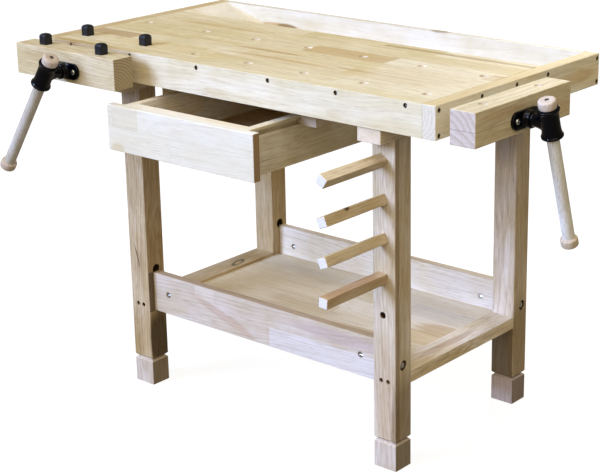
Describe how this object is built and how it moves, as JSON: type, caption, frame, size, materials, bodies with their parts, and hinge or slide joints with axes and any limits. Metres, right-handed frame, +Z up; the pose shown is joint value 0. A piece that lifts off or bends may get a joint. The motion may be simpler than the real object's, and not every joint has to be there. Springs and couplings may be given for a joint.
{
  "type": "woodworking bench",
  "caption": "Small wooden workbench with a front vise, an end vise, dog holes, a rear tool tray, a drawer, support pegs and a shelf between square legs.",
  "frame": {"origin": "on the floor, under the middle of the top", "axes": "+X along the bench to the right, +Y to the back, +Z up"},
  "size_m": [1.2272, 0.7162, 0.803],
  "materials": {
    "top_wood": "oiled",
    "frame_wood": "oiled",
    "leg_wood": "satin",
    "foot_wood": "bare",
    "sheet_wood": "satin",
    "drawer_wood": "satin",
    "peg_wood": "satin",
    "handle_wood": "bare",
    "dog_plastic": "matte",
    "black_casting": "gloss",
    "bright_steel": "zinc plated"
  },
  "bodies": {
    "frame": {"top_panel": "top_wood", "front_apron": "frame_wood", "left_end_cap": "frame_wood", "right_end_cap": "frame_wood", "back_rail": "frame_wood", "tray_front_rail": "frame_wood", "tray_ramp": "frame_wood", "left_bearer": "frame_wood", "right_bearer": "frame_wood", "left_shelf_rail": "frame_wood", "right_shelf_rail": "frame_wood", "front_stretcher": "frame_wood", "back_stretcher": "frame_wood", "left_runner": "frame_wood", "right_runner": "frame_wood", "front_left_leg": "leg_wood", "front_right_leg": "leg_wood", "back_left_leg": "leg_wood", "back_right_leg": "leg_wood", "front_left_foot": "foot_wood", "front_right_foot": "foot_wood", "back_left_foot": "foot_wood", "back_right_foot": "foot_wood", "tray_floor": "sheet_wood", "shelf_panel": "sheet_wood", "wood_screws": "bright_steel", "stretcher_bolts": "bright_steel", "barrel_nuts": "bright_steel", "front_nut_bracket": "black_casting", "end_nut_bracket": "black_casting"},
    "drawer": {"drawer_face": "drawer_wood", "drawer_front": "drawer_wood", "drawer_left_side": "drawer_wood", "drawer_right_side": "drawer_wood", "drawer_back": "drawer_wood", "drawer_bottom": "sheet_wood"},
    "front_jaw_body": {"front_jaw": "frame_wood", "front_flange": "black_casting", "front_flange_screws": "black_casting", "front_guide_rods": "bright_steel"},
    "front_screw_body": {"front_screw": "black_casting", "front_retaining_ring": "bright_steel"},
    "front_handle_body": {"front_handle_bar": "handle_wood", "front_handle_knobs": "handle_wood"},
    "end_jaw_body": {"end_jaw": "frame_wood", "end_flange": "black_casting", "end_flange_screws": "black_casting", "end_guide_rods": "bright_steel"},
    "end_screw_body": {"end_screw": "black_casting", "end_retaining_ring": "bright_steel"},
    "end_handle_body": {"end_handle_bar": "handle_wood", "end_handle_knobs": "handle_wood"},
    "top_left_dog_body": {"top_left_dog": "dog_plastic"},
    "top_right_dog_body": {"top_right_dog": "dog_plastic"},
    "jaw_left_dog_body": {"jaw_left_dog": "dog_plastic"},
    "jaw_right_dog_body": {"jaw_right_dog": "dog_plastic"},
    "support_peg_1_body": {"support_peg_1": "peg_wood"},
    "support_peg_2_body": {"support_peg_2": "peg_wood"},
    "support_peg_3_body": {"support_peg_3": "peg_wood"},
    "support_peg_4_body": {"support_peg_4": "peg_wood"}
  },
  "joints": [
    {"name": "drawer_slide", "type": "slide", "parent": "frame", "child": "drawer", "axis": [0, 1, 0], "range_m": [0, 0.147]},
    {"name": "front_jaw_slide", "type": "slide", "parent": "frame", "child": "front_jaw_body", "axis": [0, -1, 0], "range_m": [-0.0271, 0.0801]},
    {"name": "front_screw_turn", "type": "hinge", "parent": "front_jaw_body", "child": "front_screw_body", "pos_m": [-0.374, -0.415, 0.74], "axis": [0, -1, 0], "range_deg": [-2430, 7200]},
    {"name": "front_handle_slide", "type": "slide", "parent": "front_screw_body", "child": "front_handle_body", "axis": [0.549, 0, 0.8358], "range_m": [0, 0.2209]},
    {"name": "end_jaw_slide", "type": "slide", "parent": "frame", "child": "end_jaw_body", "axis": [1, 0, 0], "range_m": [-0.0306, 0.0801]},
    {"name": "end_screw_turn", "type": "hinge", "parent": "end_jaw_body", "child": "end_screw_body", "pos_m": [0.672, -0.125, 0.74], "axis": [1, 0, 0], "range_deg": [-2745, 7200]},
    {"name": "end_handle_slide", "type": "slide", "parent": "end_screw_body", "child": "end_handle_body", "axis": [0, -0.3024, 0.9532], "range_m": [0, 0.2209]},
    {"name": "top_left_dog_lift", "type": "slide", "parent": "frame", "child": "top_left_dog_body", "axis": [0, 0, 1], "range_m": [0, 0.045]},
    {"name": "top_right_dog_lift", "type": "slide", "parent": "frame", "child": "top_right_dog_body", "axis": [0, 0, 1], "range_m": [0, 0.045]},
    {"name": "jaw_left_dog_lift", "type": "slide", "parent": "front_jaw_body", "child": "jaw_left_dog_body", "axis": [0, 0, 1], "range_m": [0, 0.045]},
    {"name": "jaw_right_dog_lift", "type": "slide", "parent": "front_jaw_body", "child": "jaw_right_dog_body", "axis": [0, 0, 1], "range_m": [0, 0.045]},
    {"name": "support_peg_1_pull", "type": "slide", "parent": "frame", "child": "support_peg_1_body", "axis": [0, -1, 0], "range_m": [0, 0.034]},
    {"name": "support_peg_2_pull", "type": "slide", "parent": "frame", "child": "support_peg_2_body", "axis": [0, -1, 0], "range_m": [0, 0.034]},
    {"name": "support_peg_3_pull", "type": "slide", "parent": "frame", "child": "support_peg_3_body", "axis": [0, -1, 0], "range_m": [0, 0.034]},
    {"name": "support_peg_4_pull", "type": "slide", "parent": "frame", "child": "support_peg_4_body", "axis": [0, -1, 0], "range_m": [0, 0.034]}
  ],
  "couplings": [
    {"joint": "front_jaw_slide", "follows": "front_screw_turn", "m_per_rad": 0.00063662},
    {"joint": "end_jaw_slide", "follows": "end_screw_turn", "m_per_rad": 0.00063662}
  ]
}
